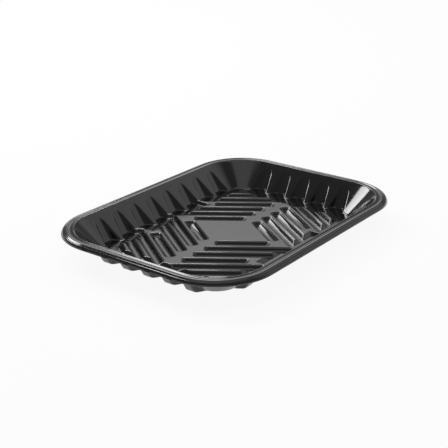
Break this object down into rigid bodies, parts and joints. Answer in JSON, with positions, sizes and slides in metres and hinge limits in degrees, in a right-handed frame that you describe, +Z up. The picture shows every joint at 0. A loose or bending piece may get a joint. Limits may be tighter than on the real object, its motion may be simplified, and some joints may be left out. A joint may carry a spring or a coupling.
{
  "type": "plastic meat tray",
  "caption": "Shallow rectangular tray with rounded corners, fluted sloping walls, a turned-down rim and a floor grooved in nested diamonds, for portions of meat.",
  "frame": {"origin": "on the table, under the middle of the tray", "axes": "+X along the tray, +Y across it, +Z up out of its mouth"},
  "size_m": [0.2428, 0.1788, 0.0207],
  "materials": {
    "black_plastic": "glossy black thermoformed sheet"
  },
  "bodies": {
    "root": {"tray": "black_plastic"}
  },
  "joints": []
}
